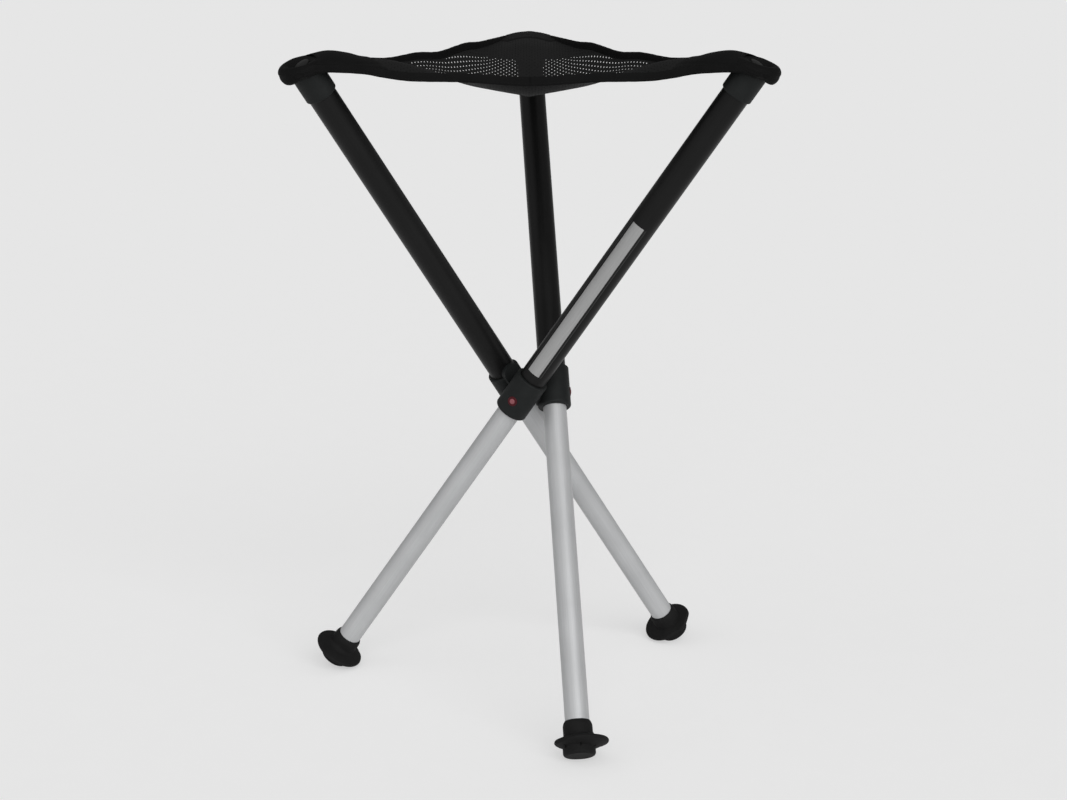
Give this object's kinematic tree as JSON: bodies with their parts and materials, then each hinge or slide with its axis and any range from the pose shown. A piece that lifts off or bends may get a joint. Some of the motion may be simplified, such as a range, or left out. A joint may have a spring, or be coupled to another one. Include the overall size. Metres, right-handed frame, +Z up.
{
  "type": "tripod stool",
  "caption": "Folding tripod stool: telescopic tube legs crossing at a hub, a mesh sling seat with padded corner pockets, push-button latches and brimmed rubber feet.",
  "frame": {"origin": "on the floor under the middle of the open stool's box", "axes": "+Z up, -Y towards the front of the picture, +X to its right"},
  "size_m": [0.4758, 0.5003, 0.6761],
  "materials": {
    "black_tube": "black powder coat, satin",
    "bare_tube": "drawn and anodised, satin silver",
    "black_moulding": "fine moulded grain",
    "button_red": "smooth moulded red",
    "foot_rubber": "matt moulded rubber",
    "seat_cloth": "black open mesh",
    "hem_cloth": "black woven band",
    "pocket_cloth": "black woven cloth over padding",
    "steel": "plain zinc-plated steel",
    "rivet_grey": "dark grey enamel",
    "label_film": "thin brushed silver film, bare"
  },
  "bodies": {
    "hub": {"hub": "black_moulding", "seat_mesh": "seat_cloth", "pivot_washer_1": "steel", "pivot_washer_2": "steel", "pivot_washer_3": "steel", "pivot_screw_1": "steel", "pivot_screw_2": "steel", "pivot_screw_3": "steel", "hem_band_1": "hem_cloth", "hem_band_2": "hem_cloth", "hem_band_3": "hem_cloth"},
    "leg_1": {"upper_tube_1": "black_tube", "collar_1": "black_moulding", "leg_socket_1": "black_moulding", "corner_pocket_1": "pocket_cloth", "pocket_rivet_1": "rivet_grey"},
    "lower_1": {"lower_tube_1": "bare_tube", "guide_plug_1": "black_moulding", "snap_spring_1": "steel", "foot_1": "foot_rubber"},
    "button_1": {"release_button_1": "button_red"},
    "leg_2": {"upper_tube_2": "black_tube", "collar_2": "black_moulding", "leg_socket_2": "black_moulding", "corner_pocket_2": "pocket_cloth", "pocket_rivet_2": "rivet_grey"},
    "lower_2": {"lower_tube_2": "bare_tube", "guide_plug_2": "black_moulding", "snap_spring_2": "steel", "foot_2": "foot_rubber"},
    "button_2": {"release_button_2": "button_red"},
    "leg_3": {"upper_tube_3": "black_tube", "collar_3": "black_moulding", "leg_socket_3": "black_moulding", "corner_pocket_3": "pocket_cloth", "pocket_rivet_3": "rivet_grey", "label_strip": "label_film"},
    "lower_3": {"lower_tube_3": "bare_tube", "guide_plug_3": "black_moulding", "snap_spring_3": "steel", "foot_3": "foot_rubber"},
    "button_3": {"release_button_3": "button_red"}
  },
  "joints": [
    {"name": "fold_1", "type": "hinge", "parent": "hub", "child": "leg_1", "pos_m": [0, -0.02025, 0.317], "axis": [0.9942, 0.1075, 0], "range_deg": [0, 35.43], "deforming": ["corner_pocket_1", "seat_mesh", "hem_band_1", "hem_band_2", "hem_band_3"]},
    {"name": "telescope_1", "type": "slide", "parent": "leg_1", "child": "lower_1", "axis": [-0.0623, 0.5763, 0.8148], "range_m": [0, 0.315], "deforming": ["snap_spring_1"]},
    {"name": "press_1", "type": "slide", "parent": "leg_1", "child": "button_1", "axis": [-0.9942, -0.1075, 0], "range_m": [0, 0.002], "stiffness_N_per_m": 800, "springref_m": -0.004},
    {"name": "fold_2", "type": "hinge", "parent": "hub", "child": "leg_2", "pos_m": [0, -0.02025, 0.317], "axis": [-0.5902, 0.8073, 0], "range_deg": [0, 35.43], "deforming": ["corner_pocket_2"]},
    {"name": "telescope_2", "type": "slide", "parent": "leg_2", "child": "lower_2", "axis": [-0.468, -0.3421, 0.8148], "range_m": [0, 0.315], "deforming": ["snap_spring_2"]},
    {"name": "press_2", "type": "slide", "parent": "leg_2", "child": "button_2", "axis": [0.5902, -0.8073, 0], "range_m": [0, 0.002], "stiffness_N_per_m": 800, "springref_m": -0.004},
    {"name": "fold_3", "type": "hinge", "parent": "hub", "child": "leg_3", "pos_m": [0, -0.02025, 0.317], "axis": [-0.404, -0.9147, 0], "range_deg": [0, 35.43], "deforming": ["corner_pocket_3"]},
    {"name": "telescope_3", "type": "slide", "parent": "leg_3", "child": "lower_3", "axis": [0.5303, -0.2342, 0.8148], "range_m": [0, 0.315], "deforming": ["snap_spring_3"]},
    {"name": "press_3", "type": "slide", "parent": "leg_3", "child": "button_3", "axis": [0.404, 0.9147, 0], "range_m": [0, 0.002], "stiffness_N_per_m": 800, "springref_m": -0.004}
  ],
  "couplings": [
    {"joint": "fold_2", "follows": "fold_1", "ratio": 1},
    {"joint": "fold_3", "follows": "fold_1", "ratio": 1}
  ]
}
